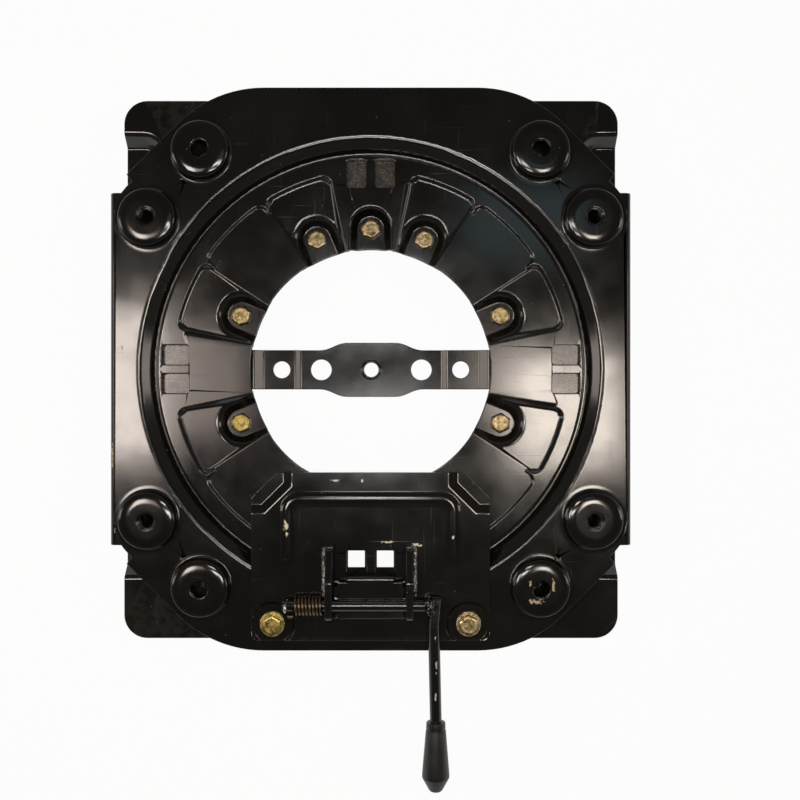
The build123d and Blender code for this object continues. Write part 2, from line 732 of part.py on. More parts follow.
parts = {
    "lower_plate": lower_plate(),
    "retainer_ring": retainer_ring(),
    "ring_bolts": ring_bolts(),
    "ring_weld_nuts": ring_weld_nuts(),
    "lower_glide_pads": glide_pads(lower_pad_r, deck_top, deck_top + lower_pad),
    "upper_glide_pads": glide_pads(upper_pad_r, lip_top + run_gap, rim_bottom),
    "centre_strap": centre_strap(),
    "strap_rivets": strap_rivets(),
    "upper_plate": upper_plate(),
    "seat_weld_nuts": group(Pos(sx * side_boss[0], sy * side_boss[1]) * seat_nut
                            for sx, sy in corners),
    "latch_plate": latch_plate(),
    "latch_bolts": latch_pair(hex_bolt(stack_top)),
    "latch_spring_washers": latch_pair(lock_washer),
    "latch_washers": latch_pair(flat_washer),
    "latch_weld_nuts": latch_pair(weld_nut(nut_flats, nut_height, bolt_r + seam, plate_bottom)),
    "left_ear": ear(window_x[0] - ear_gap, -1),
    "right_ear": ear(window_x[1] + ear_gap, 1),
    "ear_welds": ear_welds(),
    "torsion_spring": torsion_spring(),
    "pawl": pawl(),
    "pawl_welds": pawl_welds(),
    "latch_shaft": latch_shaft(),
    "lever_rod": lever_rod(),
    "lever_weld": lever_weld(),
    "lever_grip": lever_grip(),
    "split_pin": split_pin(),
}

os.makedirs("parts", exist_ok=True)
for name, shape in parts.items():
    export_step(shape, f"parts/{name}.step")
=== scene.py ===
import json
import math
import bpy
import bmesh
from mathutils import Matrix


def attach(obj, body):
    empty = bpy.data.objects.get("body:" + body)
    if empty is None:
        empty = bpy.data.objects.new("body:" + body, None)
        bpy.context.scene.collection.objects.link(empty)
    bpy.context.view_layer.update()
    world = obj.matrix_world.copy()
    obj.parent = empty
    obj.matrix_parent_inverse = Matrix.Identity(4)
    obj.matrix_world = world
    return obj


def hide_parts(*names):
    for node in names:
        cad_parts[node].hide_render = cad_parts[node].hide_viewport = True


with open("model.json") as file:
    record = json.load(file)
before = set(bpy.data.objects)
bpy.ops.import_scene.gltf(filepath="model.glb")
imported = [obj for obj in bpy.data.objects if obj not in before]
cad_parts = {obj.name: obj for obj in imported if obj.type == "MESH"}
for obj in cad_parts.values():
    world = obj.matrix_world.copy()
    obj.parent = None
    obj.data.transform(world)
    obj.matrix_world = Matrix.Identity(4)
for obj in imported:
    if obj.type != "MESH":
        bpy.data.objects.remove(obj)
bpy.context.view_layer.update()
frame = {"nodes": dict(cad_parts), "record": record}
nodes = frame["nodes"]
record = frame["record"]
bodyOf = {node: body for body, members in record["behaviour"]["bodies"].items() for node in members}
slotOf = {subpart["node"]: subpart["material_slot"] for subpart in record["subparts"]}
print("frame loaded, nodes:", len(nodes))


# small helpers for selecting and finishing pieces

facing = 0.99                        # z of a normal that counts as straight up or down


def deselectAll():
    if bpy.context.object and bpy.context.object.mode != "OBJECT":
        bpy.ops.object.mode_set(mode="OBJECT")
    bpy.ops.object.select_all(action="DESELECT")


def activate(obj):
    deselectAll()
    obj.select_set(True)
    bpy.context.view_layer.objects.active = obj


def applyModifier(obj, kind, **values):
    activate(obj)
    modifier = obj.modifiers.new(kind.title(), kind)
    for key, value in values.items():
        setattr(modifier, key, value)
    bpy.ops.object.modifier_apply(modifier=modifier.name)


def selectWhere(obj, test, what="FACE"):
    # edit mode with only the faces or edges that pass the test selected
    activate(obj)
    bpy.ops.object.mode_set(mode="EDIT")
    bpy.ops.mesh.select_mode(type=what)
    bpy.ops.mesh.select_all(action="DESELECT")
    mesh = bmesh.from_edit_mesh(obj.data)
    items = mesh.faces if what == "FACE" else mesh.edges
    for item in items:
        if test(item):
            item.select_set(True)
    bmesh.update_edit_mesh(obj.data)


def drawOut(x, y, z):
    # the selected edges or faces are drawn out by this much
    bpy.ops.mesh.extrude_region_move(TRANSFORM_OT_translate={"value": (x, y, z)})


def settle(obj):
    # place and size go into the mesh, the object stays at the origin
    activate(obj)
    bpy.ops.object.transform_apply(location=True, rotation=True, scale=True)


def smoothBy(obj, degrees):
    activate(obj)
    bpy.ops.object.shade_smooth_by_angle(angle=math.radians(degrees))


def copyOf(obj, name):
    twin = bpy.data.objects.new(name, obj.data.copy())
    bpy.context.scene.collection.objects.link(twin)
    return twin


def joined(name, pieces):
    deselectAll()
    for piece in pieces:
        piece.select_set(True)
    bpy.context.view_layer.objects.active = pieces[0]
    bpy.ops.object.join()
    whole = bpy.context.view_layer.objects.active
    whole.name = name
    return whole


def dress(obj, material, body, slot, *stands):
    obj.data.materials.clear()
    obj.data.materials.append(material)
    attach(obj, body)
    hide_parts(*stands)


# material helpers

fullNoise = (0.3, 0.7)               # nearly all values of a noise lie between these


def startMaterial(name, color, metallic, roughness):
    material = bpy.data.materials.new(name)
    material.use_nodes = True
    tree = material.node_tree
    shader = tree.nodes["Principled BSDF"]
    shader.inputs["Base Color"].default_value = (*color, 1)
    shader.inputs["Metallic"].default_value = metallic
    shader.inputs["Roughness"].default_value = roughness
    return material, tree, shader


def addNode(tree, kind, **values):
    node = tree.nodes.new(kind)
    for key, value in values.items():
        if key in node.inputs:
            node.inputs[key].default_value = value
        else:
            setattr(node, key, value)
    return node


def objectCoords(tree, scale=(1, 1, 1), rotation=(0, 0, 0)):
    coords = addNode(tree, "ShaderNodeTexCoord")
    mapping = addNode(tree, "ShaderNodeMapping", Scale=scale, Rotation=rotation)
    tree.links.new(coords.outputs["Object"], mapping.inputs["Vector"])
    return mapping.outputs["Vector"]


def noiseOf(tree, vector, scale, detail=2.0, roughness=0.5):
    noise = addNode(tree, "ShaderNodeTexNoise", Scale=scale, Detail=detail, Roughness=roughness)
    tree.links.new(vector, noise.inputs["Vector"])
    return noise.outputs["Fac"]


def spread(tree, value, low, high, toLow=0.0, toHigh=1.0):
    node = addNode(tree, "ShaderNodeMapRange")
    node.inputs["From Min"].default_value = low
    node.inputs["From Max"].default_value = high
    node.inputs["To Min"].default_value = toLow
    node.inputs["To Max"].default_value = toHigh
    tree.links.new(value, node.inputs["Value"])
    return node.outputs["Result"]


def clouded(tree, place, scale, low, high, detail=3.0, roughness=0.5):
    return spread(tree, noiseOf(tree, place, scale, detail, roughness), low, high)


def combine(tree, operation, a, b):
    node = addNode(tree, "ShaderNodeMath", operation=operation)
    for socket, item in zip(node.inputs, (a, b)):
        if isinstance(item, (int, float)):
            socket.default_value = item
        else:
            tree.links.new(item, socket)
    return node.outputs["Value"]


def blendColor(tree, factor, first, second):
    node = addNode(tree, "ShaderNodeMix", data_type="RGBA")
    tree.links.new(factor, node.inputs[0])
    for socket, item in ((node.inputs[6], first), (node.inputs[7], second)):   # the colour sockets
        if isinstance(item, tuple):
            socket.default_value = (*item, 1)
        else:
            tree.links.new(item, socket)
    return node.outputs[2]


def bumpInto(tree, shader, height, strength, distance, rounded=None):
    bump = addNode(tree, "ShaderNodeBump", Strength=strength, Distance=distance)
    tree.links.new(height, bump.inputs["Height"])
    if rounded:
        tree.links.new(rounded, bump.inputs["Normal"])
    tree.links.new(bump.outputs["Normal"], shader.inputs["Normal"])


# black enamel: clouded, scratched, dusty, thin on its edges with a painted highlight along them, chipped
# where given

paint = {                            # patches: scale, low and high, then detail and roughness
    "dark": (0.0042, 0.0037, 0.0032), "light": (0.0080, 0.0071, 0.0061), "clouds": (14.0, 0.35, 0.7, 4.0),
    # the pale edge colour is worn bare metal and also a painted highlight along the bends
    "dust": (0.30, 0.27, 0.23), "bareMetalAndHighlight": (0.42, 0.38, 0.32),
    "scratches": [((18, 900, 300), 0.35), ((1100, 22, 300), 0.2)],     # stretch and turn
    "scratchDetail": 3.0, "scratchEdge": (0.68, 0.76), "rubbedPatches": (23.0, 0.48, 0.70),
    "specks": 230.0, "speckSize": (0.12, 0.06), "speckShare": (0.95, 0.96), "speckCover": 0.45,
    "sharpEdge": (0.53, 0.58), "turnedEdge": (0.90, 0.80), "bendSamples": 6,
    "wearAndHighlightPatches": (150.0, 0.38, 0.58, 5.0, 0.65),
    "gloss": (0.09, 0.15), "glossNoise": (45.0, 4.0), "rubbedRough": 0.10, "chipRough": 0.3,
    "peel": (1250.0, 1.0), "peelDepth": 0.00003,
}
lipTrack = {
    "radius": (0.1536, 0.1530), "front": (-0.11, -0.10), "color": (0.24, 0.19, 0.15), "cover": 0.55,
    "mottle": (900.0, 0.42, 0.58, 5.0, 0.75), "blotch": (190.0, 0.35, 0.60, 4.0, 0.6),
    "rough": 0.10, "height": 2.5,
}
chip = {"ragged": (420.0, 4.0, 0.6), "reach": (-0.7, 0.9), "rim": (0.85, 0.7)}


def rubbedMask(tree, place):
    # fine scratches in two directions, in patches
    lines = []
    for stretch, turn in paint["scratches"]:
        drawn = noiseOf(tree, objectCoords(tree, stretch, (0, 0, turn)), 1.0, paint["scratchDetail"])
        lines.append(spread(tree, drawn, *paint["scratchEdge"]))
    rubbed = combine(tree, "MAXIMUM", *lines)
    return combine(tree, "MULTIPLY", rubbed, clouded(tree, place, *paint["rubbedPatches"]))


def speckMask(tree, place):
    # a dot in a few of the cells
    cells = addNode(tree, "ShaderNodeTexVoronoi", Scale=paint["specks"])
    tree.links.new(place, cells.inputs["Vector"])
    chosen = addNode(tree, "ShaderNodeSeparateColor")
    tree.links.new(cells.outputs["Color"], chosen.inputs["Color"])
    return combine(tree, "MULTIPLY", spread(tree, cells.outputs["Distance"], *paint["speckSize"]),
                   spread(tree, chosen.outputs["Red"], *paint["speckShare"]))


def edgeWearAndHighlightMask(tree, place, rounded):
    # sharp edges, found by how far the rounded normal turns away, or else by pointiness; they get the pale
    # bare-metal colour as edge wear, and where the normal is rounded also as a painted highlight along the
    # bends
    shape = addNode(tree, "ShaderNodeNewGeometry")
    if rounded:
        turned = addNode(tree, "ShaderNodeVectorMath", operation="DOT_PRODUCT")
        tree.links.new(rounded, turned.inputs[0])
        tree.links.new(shape.outputs["Normal"], turned.inputs[1])
        edge = spread(tree, turned.outputs["Value"], *paint["turnedEdge"])
    else:
        edge = spread(tree, shape.outputs["Pointiness"], *paint["sharpEdge"])
    return combine(tree, "MULTIPLY", edge, clouded(tree, place, *paint["wearAndHighlightPatches"]))


def lipMasks(tree, place):
    # the turntable's lip, and the scraped and greasy patches on it
    flatPlace = objectCoords(tree, (1, 1, 0))
    radius = addNode(tree, "ShaderNodeVectorMath", operation="LENGTH")
    tree.links.new(flatPlace, radius.inputs[0])
    axes = addNode(tree, "ShaderNodeSeparateXYZ")
    tree.links.new(flatPlace, axes.inputs["Vector"])
    lip = combine(tree, "MULTIPLY", spread(tree, radius.outputs["Value"], *lipTrack["radius"]),
                  spread(tree, axes.outputs["Y"], *lipTrack["front"]))
    grease = combine(tree, "MULTIPLY", clouded(tree, place, *lipTrack["mottle"]),
                     clouded(tree, place, *lipTrack["blotch"]))
    return lip, combine(tree, "MULTIPLY", lip, grease)


def chipMask(tree, spots):
    # ragged patches at the given places
    coords = addNode(tree, "ShaderNodeTexCoord").outputs["Object"]
    ragged = spread(tree, noiseOf(tree, coords, *chip["ragged"]), *fullNoise, *chip["reach"])
    total = None
    for centre, half in spots:
        mapping = addNode(tree, "ShaderNodeMapping", vector_type="TEXTURE", Location=centre, Scale=half)
        tree.links.new(coords, mapping.inputs["Vector"])
        length = addNode(tree, "ShaderNodeVectorMath", operation="LENGTH")
        tree.links.new(mapping.outputs["Vector"], length.inputs[0])
        mask = spread(tree, combine(tree, "ADD", length.outputs["Value"], ragged), *chip["rim"])
        total = mask if total is None else combine(tree, "MAXIMUM", total, mask)
    return total


def paintMaterial(name, chips=(), chipColor=(0.70, 0.63, 0.48), scuffs=0.20, edgeWearAndHighlightShare=0.12, tracks=False,
                  grain=0.10, bend=0.0):
    material, tree, shader = startMaterial(name, paint["dark"], 0.0, paint["gloss"][0])
    place = objectCoords(tree)
    rounded = None
    if bend:                         # thick paint rounds the bends of the pressings a little
        bevel = addNode(tree, "ShaderNodeBevel", samples=paint["bendSamples"], Radius=bend)
        rounded = bevel.outputs["Normal"]
    rubbed = rubbedMask(tree, place)
    specks = combine(tree, "MULTIPLY", speckMask(tree, place), paint["speckCover"])
    # pale edge lines: partly edge wear, partly a painted highlight along the rounded bends
    edgeWearAndHighlight = combine(tree, "MULTIPLY", edgeWearAndHighlightMask(tree, place, rounded), edgeWearAndHighlightShare)
    color = blendColor(tree, clouded(tree, place, *paint["clouds"]), paint["dark"], paint["light"])
    color = blendColor(tree, combine(tree, "MULTIPLY", rubbed, scuffs), color, paint["dust"])
    color = blendColor(tree, specks, color, paint["dust"])
    color = blendColor(tree, edgeWearAndHighlight, color, paint["bareMetalAndHighlight"])
    rough = spread(tree, noiseOf(tree, place, *paint["glossNoise"]), *fullNoise, *paint["gloss"])
    rough = combine(tree, "ADD", rough, combine(tree, "MULTIPLY", rubbed, paint["rubbedRough"]))
    height = noiseOf(tree, place, *paint["peel"])
    if tracks:
        lip, scraped = lipMasks(tree, place)
        greasy = combine(tree, "MULTIPLY", scraped, lipTrack["cover"])
        color = blendColor(tree, greasy, color, lipTrack["color"])
        rough = combine(tree, "ADD", rough, combine(tree, "MULTIPLY", lip, lipTrack["rough"]))
        height = combine(tree, "ADD", height, combine(tree, "MULTIPLY", scraped, lipTrack["height"]))
    if chips:
        bare = chipMask(tree, chips)
        color = blendColor(tree, bare, color, chipColor)
        rough = combine(tree, "ADD", rough, combine(tree, "MULTIPLY", bare, paint["chipRough"]))
    tree.links.new(color, shader.inputs["Base Color"])
    tree.links.new(rough, shader.inputs["Roughness"])
    bumpInto(tree, shader, height, grain, paint["peelDepth"], rounded)
    return material


# yellow passivated zinc, mottled

zinc = {
    "gold": (0.22, 0.168, 0.055),
    "pink": (0.22, 0.165, 0.105), "pinkPatches": (13.0, 0.42, 0.58, 1.0),
    "brown": (0.060, 0.040, 0.015), "brownPatches": (330.0, 0.45, 0.66),
    "olive": (0.08, 0.085, 0.03), "olivePatches": (460.0, 0.50, 0.66),
    # the lift brightens the latch copy of the zinc as a painted reflection of the lamps
    "grain": (700.0, 4.0, 0.6), "gloss": (0.24, 0.40), "bump": (0.4, 0.00010), "glareLift": 2.2,
}


# a lift above 1 makes a brighter copy of the zinc, which paints a lamp's reflection on it
def zincMaterial(name, lift=1.0):
    def lifted(tone):
        return tuple(c * lift for c in zinc[tone])

    material, tree, shader = startMaterial(name, lifted("gold"), 1.0, zinc["gloss"][0])
    place = objectCoords(tree)
    color = lifted("gold")
    for tone in ("pink", "brown", "olive"):
        color = blendColor(tree, clouded(tree, place, *zinc[tone + "Patches"]), color, lifted(tone))
    tree.links.new(color, shader.inputs["Base Color"])
    grain = noiseOf(tree, place, *zinc["grain"])
    tree.links.new(spread(tree, grain, *fullNoise, *zinc["gloss"]), shader.inputs["Roughness"])
    bumpInto(tree, shader, grain, *zinc["bump"])
    return material


# bare and oiled steel, dull in patches

steel = {                            # bright colour, dull colour, where the noise turns dull
    "bare": ((0.50, 0.48, 0.45), (0.20, 0.16, 0.12), (0.5, 0.75)),
    "weld": ((0.30, 0.28, 0.26), (0.05, 0.042, 0.035), (0.40, 0.62)),
    "spring": ((0.15, 0.10, 0.06), (0.04, 0.03, 0.022), (0.5, 0.75)),
    "dullNoise": (210.0, 5.0, 0.6), "grain": (1400.0, 3.0), "gloss": (0.24, 0.44), "bump": (0.2, 0.00008),
}


def steelMaterial(name, bright, dull, dullEdge):
    material, tree, shader = startMaterial(name, bright, 1.0, steel["gloss"][0])
    place = objectCoords(tree)
    patches = spread(tree, noiseOf(tree, place, *steel["dullNoise"]), *dullEdge)
    tree.links.new(blendColor(tree, patches, bright, dull), shader.inputs["Base Color"])
    grain = noiseOf(tree, place, *steel["grain"])
    tree.links.new(spread(tree, grain, *fullNoise, *steel["gloss"]), shader.inputs["Roughness"])
    bumpInto(tree, shader, grain, *steel["bump"])
    return material


# moulded plastic

plastic = {                          # colour and roughness
    "grip": ((0.0040, 0.0032, 0.0030), 0.42), "glide": ((0.62, 0.58, 0.50), 0.45),
    "palerBy": 1.5, "palerAdd": 0.004, "clouds": (70.0, 3.0), "cloudEdge": (0.4, 0.7),
    "smoother": 0.06, "rougher": 0.08, "grain": (1600.0, 2.0), "bump": (0.3, 0.00008),
}


def plasticMaterial(name, color, roughness):
    material, tree, shader = startMaterial(name, color, 0.0, roughness)
    place = objectCoords(tree)
    cloud = noiseOf(tree, place, *plastic["clouds"])
    paler = tuple(min(1.0, c * plastic["palerBy"] + plastic["palerAdd"]) for c in color)
    mottled = blendColor(tree, spread(tree, cloud, *plastic["cloudEdge"]), color, paler)
    tree.links.new(mottled, shader.inputs["Base Color"])
    sheen = spread(tree, cloud, *fullNoise, roughness - plastic["smoother"], roughness + plastic["rougher"])
    tree.links.new(sheen, shader.inputs["Roughness"])
    bumpInto(tree, shader, noiseOf(tree, place, *plastic["grain"]), *plastic["bump"])
    return material


bareSpots = {                        # centre and half sizes of each chip, in metres
    "latch": [((-0.0603, -0.1120, 0.0325), (0.0019, 0.0044, 0.01)),
              ((-0.0598, -0.1185, 0.0325), (0.0011, 0.0019, 0.01)),
              ((0.0125, -0.1242, 0.0312), (0.0050, 0.0010, 0.01)),
              ((0.0330, -0.1262, 0.0312), (0.0045, 0.0013, 0.01)),
              ((0.0590, -0.1205, 0.0325), (0.0012, 0.0014, 0.01)),
              ((-0.0250, -0.0800, 0.0312), (0.0035, 0.0009, 0.01)),
              ((-0.0060, -0.0800, 0.0312), (0.0008, 0.0018, 0.01))],
    "turntable": [((0.1180, -0.1660, 0.0360), (0.0060, 0.0022, 0.02)),
                  ((0.1305, -0.1540, 0.0360), (0.0012, 0.0050, 0.02)),
                  ((0.1140, -0.1530, 0.0360), (0.0010, 0.0030, 0.02)),
                  ((-0.1865, -0.0620, 0.0262), (0.0009, 0.0120, 0.01)),
                  ((-0.1790, 0.0150, 0.0262), (0.0006, 0.0030, 0.01))],
    "rod": [((0.0470, -0.2110, 0.0400), (0.0008, 0.0060, 0.02)),
            ((0.0465, -0.2330, 0.0400), (0.0006, 0.0040, 0.02)),
            ((0.0462, -0.1910, 0.0420), (0.0007, 0.0030, 0.02))],
}
blackPaint = paintMaterial("blackEnamel")
# the turntable and ring get pale lines on their rounded bends: partly edge wear, partly painted highlight
turntablePaint = paintMaterial("turntableEnamel", bareSpots["turntable"], (0.45, 0.36, 0.22), scuffs=0.26,
                               edgeWearAndHighlightShare=0.5, tracks=True, bend=0.0009)
latchPaint = paintMaterial("latchEnamel", bareSpots["latch"], scuffs=0.24, edgeWearAndHighlightShare=0.2)
rodPaint = paintMaterial("leverEnamel", bareSpots["rod"], (0.50, 0.48, 0.44), scuffs=0.30, edgeWearAndHighlightShare=0.05)
ringPaint = paintMaterial("ringEnamel", scuffs=0.24, edgeWearAndHighlightShare=0.4, bend=0.0010)
strapPaint = paintMaterial("strapEnamel", scuffs=0.15, edgeWearAndHighlightShare=0.12, grain=0.45)
yellowZinc = zincMaterial("yellowZinc")
glareLatchZinc = zincMaterial("glareLatchZinc", zinc["glareLift"])      # the latch bolts and washers: a brighter copy of the zinc, a painted reflection of the lamps
bareSteel = steelMaterial("bareSteel", *steel["bare"])
weldSteel = steelMaterial("weldSteel", *steel["weld"])
springWire = steelMaterial("springWire", *steel["spring"])
gripPlastic = plasticMaterial("gripPlastic", *plastic["grip"])
glidePlastic = plasticMaterial("glidePlastic", *plastic["glide"])
finishOf = {"black_paint": blackPaint, "glide_plastic": glidePlastic}     # by slot, for the shells
ownFinish = {"upper_plate": turntablePaint, "latch_plate": latchPaint, "lever_rod": rodPaint,
             "retainer_ring": ringPaint, "centre_strap": strapPaint,
             "latch_washers": glareLatchZinc, "latch_spring_washers": glareLatchZinc}
print("materials made:", len(bpy.data.materials))


# pressings and other CAD shapes, welded into smooth shells with broken edges

shells = {                           # width of the broken edges, in metres
    "upper_plate": 0.0005, "retainer_ring": 0.0005, "lower_plate": 0.0005, "latch_plate": 0.0005,
    "centre_strap": 0.0006, "strap_rivets": 0.0003, "left_ear": 0.0007, "right_ear": 0.0007,
    "pawl": 0.0005, "pawl_welds": 0.0, "latch_shaft": 0.0003, "lever_rod": 0.0,
    "ring_weld_nuts": 0.0003, "seat_weld_nuts": 0.0003, "latch_weld_nuts": 0.0003,
    "latch_washers": 0.0003, "latch_spring_washers": 0.0003,
    "lower_glide_pads": 0.0004, "upper_glide_pads": 0.0004,
}
shellFinish = {"merge": 0.000002, "sharp": 55, "segments": 2, "level": 0.9998, "cuts": 2, "weight": 70}


def turnedProfile(name, points, count):
    # a ring of vertices drawn out through (radius, height) points
    deselectAll()
    bpy.ops.mesh.primitive_circle_add(vertices=count, radius=points[0][0], location=(0, 0, points[0][1]))
    turned = bpy.context.object
    turned.name = name
    settle(turned)
    selectWhere(turned, lambda e: True, "EDGE")
    for (startR, startZ), (endR, endZ) in zip(points, points[1:]):
        drawOut(0, 0, endZ - startZ)
        bpy.ops.transform.resize(value=(endR / startR, endR / startR, 1), center_override=(0, 0, endZ))
    bpy.ops.mesh.select_all(action="SELECT")
    bpy.ops.mesh.normals_make_consistent(inside=False)
    bpy.ops.object.mode_set(mode="OBJECT")
    return turned


boss = {
    "plate": 0.0262, "height": 0.011, "sheet": 0.003, "sides": 72,
    "skirt": 0.0248, "sunk": 0.00006, "foot": 0.0015, "footOut": 0.0226, "footTurn": 82, "footSteps": 4,
    "flat": 0.0115, "across": 0.0089, "down": 0.0022, "shoulderTurn": 86, "shoulderSteps": 14,
    "hole": 0.00615, "holeEdge": [(0.0008, 0.0), (0.0002, 0.0003), (0.0, 0.0008)],     # out and down
    "cut": 0.02435, "cutBelow": 0.00005, "cutLean": 0.02,     # the solid's own skin that the boss replaces
    "places": [(0.122, 0.157), (0.160, 0.1085)],
}


def bossProfile():
    points = [(boss["skirt"], -boss["sunk"])]
    for step in range(boss["footSteps"] + 1):                 # concave foot
        turn = math.radians(boss["footTurn"]) * step / boss["footSteps"]
        points.append((boss["footOut"] - boss["foot"] * math.sin(turn), boss["foot"] * (1 - math.cos(turn))))
    for step in range(boss["shoulderSteps"], -1, -1):         # wide flat-oval shoulder
        turn = math.radians(boss["shoulderTurn"]) * step / boss["shoulderSteps"]
        points.append((boss["flat"] + boss["across"] * math.sin(turn),
                       boss["height"] - boss["down"] * (1 - math.cos(turn))))
    for out, down in boss["holeEdge"]:
        points.append((boss["hole"] + out, boss["height"] - down))
    points.append((boss["hole"], boss["height"] - boss["sheet"]))
    return points


def fitBosses(shell):
    spots = [(sx * x, sy * y) for x, y in boss["places"] for sx in (-1, 1) for sy in (-1, 1)]

    def topSkin(face):
        centre = face.calc_center_median()
        near = any(math.hypot(centre.x - x, centre.y - y) < boss["cut"] for x, y in spots)
        return near and face.normal.z > boss["cutLean"] and centre.z > boss["plate"] - boss["cutBelow"]

    selectWhere(shell, topSkin)
    bpy.ops.mesh.delete(type="FACE")
    bpy.ops.object.mode_set(mode="OBJECT")
    drawn = turnedProfile("drawnBoss", bossProfile(), boss["sides"])
    pieces = [shell]
    for x, y in spots:
        twin = copyOf(drawn, "drawnBossCopy")
        twin.location = (x, y, boss["plate"])
        settle(twin)
        pieces.append(twin)
    bpy.data.objects.remove(drawn)
    return joined(shell.name, pieces)


def isLevel(face):
    return abs(face.normal.z) > shellFinish["level"]


def isStep(edge):
    # runs from one level straight to another
    if any(isLevel(face) for face in edge.link_faces):
        return False
    return all(any(isLevel(face) for face in vert.link_faces) for vert in edge.verts)


def drawBack(shell, node, reach):
    # a corner of a broken edge that shot past the solid goes back among its neighbours
    activate(shell)
    bpy.ops.object.mode_set(mode="EDIT")
    mesh = bmesh.from_edit_mesh(shell.data)
    stray = {v for v in mesh.verts if (node.closest_point_on_mesh(v.co)[1] - v.co).length > reach}
    for vert in stray:
        near = [e.other_vert(vert).co for e in vert.link_edges if e.other_vert(vert) not in stray]
        if near:
            vert.co = sum(near[1:], near[0].copy()) / len(near)
    bmesh.update_edit_mesh(shell.data)
    bpy.ops.object.mode_set(mode="OBJECT")


def shellOf(nodeName, edgeWidth):
    shell = copyOf(nodes[nodeName], nodeName + "Shell")
    activate(shell)
    bpy.ops.mesh.customdata_custom_splitnormals_clear()
    bpy.ops.object.mode_set(mode="EDIT")
    bpy.ops.mesh.select_all(action="SELECT")
    bpy.ops.mesh.remove_doubles(threshold=shellFinish["merge"])
    bpy.ops.object.mode_set(mode="OBJECT")
    if edgeWidth:
        applyModifier(shell, "BEVEL", width=edgeWidth, segments=shellFinish["segments"], limit_method="ANGLE",
                      angle_limit=math.radians(shellFinish["sharp"]), use_clamp_overlap=False)
        drawBack(shell, nodes[nodeName], edgeWidth)
    if nodeName == "upper_plate":
        shell = fitBosses(shell)
    # slopes between two levels are cut in three, so that their bends show
    selectWhere(shell, isStep, "EDGE")
    bpy.ops.mesh.subdivide(number_cuts=shellFinish["cuts"])
    # level faces rule the shading at their rims, so that they look flat
    selectWhere(shell, isLevel)
    bpy.ops.mesh.mod_weighted_strength(set=True, face_strength="STRONG")
    bpy.ops.object.mode_set(mode="OBJECT")
    smoothBy(shell, shellFinish["sharp"])
    applyModifier(shell, "WEIGHTED_NORMAL", mode="FACE_AREA", weight=shellFinish["weight"], keep_sharp=True,
                  use_face_influence=True)
    slot = slotOf[nodeName]
    finish = ownFinish[nodeName] if nodeName in ownFinish else finishOf[slot]
    dress(shell, finish, bodyOf[nodeName], slot, nodeName)


for nodeName, edgeWidth in shells.items():
    shellOf(nodeName, edgeWidth)
print("shells made:", len(shells))


# hexagon bolts with a round chamfered head and a threaded shank

bolt = {
    "flats": 0.013, "head": 0.0053, "crown": 0.0054, "slope": 14.0, "over": 0.001, "coneSides": 48,
    "rim": 0.0008, "sink": 0.00008, "middle": 0.0020, "rise": 0.7, "soften": 0.0002, "softenAbove": 24,
    "shank": 0.0040, "plain": 0.0035, "pitch": 0.00125, "turns": 10, "root": 0.86, "shankSides": 20,
    "smooth": 28, "seat": 0.0165, "circle": 0.102,
    "turned": {22.5: 5, 67.5: 46, 90: 12, 112.5: 1, 157.5: 48, 202.5: 54, 247.5: 20, 270: 33,
               292.5: 10, 337.5: 55},    # place round the ring and turn of each head, degrees
    "latchSpots": [((-0.0704, -0.183, 0.0328), 0), ((0.0704, -0.183, 0.0328), 8)],
}


def makeHead():
    # a hexagon cut by a flat cone, with a slightly sunk top
    tall = bolt["head"] + bolt["over"]
    deselectAll()
    bpy.ops.mesh.primitive_cylinder_add(vertices=6, radius=bolt["flats"] / 2 / math.cos(math.radians(30)),
                                        depth=tall, location=(0, 0, tall / 2))
    head = bpy.context.object
    settle(head)
    wider = tall / math.tan(math.radians(bolt["slope"]))
    bpy.ops.mesh.primitive_cone_add(vertices=bolt["coneSides"], depth=tall,
                                    radius1=bolt["crown"] + wider, radius2=bolt["crown"],
                                    location=(0, 0, bolt["head"] - tall / 2))
    cone = bpy.context.object
    settle(cone)
    applyModifier(head, "BOOLEAN", operation="INTERSECT", object=cone, solver="EXACT")
    bpy.data.objects.remove(cone)
    selectWhere(head, lambda f: f.normal.z > facing and f.calc_center_median().z > bolt["head"] / 2)
    bpy.ops.mesh.inset(thickness=bolt["rim"], depth=-bolt["sink"])
    bpy.ops.mesh.inset(thickness=bolt["middle"], depth=bolt["sink"] * bolt["rise"])
    bpy.ops.object.mode_set(mode="OBJECT")
    applyModifier(head, "BEVEL", width=bolt["soften"], segments=2, limit_method="ANGLE",
                  angle_limit=math.radians(bolt["softenAbove"]))
    return head


def makeShank():
    deselectAll()
    bpy.ops.mesh.primitive_cylinder_add(vertices=bolt["shankSides"], radius=bolt["shank"],
                                        depth=bolt["plain"], location=(0, 0, -bolt["plain"] / 2))
    shank = bpy.context.object
    settle(shank)
    selectWhere(shank, lambda f: f.normal.z < -facing)
    for _ in range(bolt["turns"]):
        for size in (bolt["root"], 1 / bolt["root"]):
            drawOut(0, 0, -bolt["pitch"] / 2)
            bpy.ops.transform.resize(value=(size, size, 1), center_override=(0, 0, 0))
    bpy.ops.object.mode_set(mode="OBJECT")
    return shank


def boltsAt(name, master, spots):
    copies = []
    for place, turn in spots:
        twin = copyOf(master, name)
        twin.location = place
        twin.rotation_euler = (0, 0, math.radians(turn))
        settle(twin)
        copies.append(twin)
    whole = joined(name, copies)
    smoothBy(whole, bolt["smooth"])
    return whole


hexBolt = joined("hexBolt", [makeHead(), makeShank()])
ringSpots = []
for angle, turn in bolt["turned"].items():
    x = bolt["circle"] * math.cos(math.radians(angle))
    y = bolt["circle"] * math.sin(math.radians(angle))
    ringSpots.append(((x, y, bolt["seat"]), turn))
ringBolts = boltsAt("ringBolts", hexBolt, ringSpots)
dress(ringBolts, yellowZinc, "base", "yellow_zinc", "ring_bolts")
latchBolts = boltsAt("latchBolts", hexBolt, bolt["latchSpots"])
dress(latchBolts, glareLatchZinc, "turntable", "yellow_zinc", "latch_bolts")
bpy.data.objects.remove(hexBolt)
print("bolts made")


# weld beads: overlapping ripples, melted together and roughened

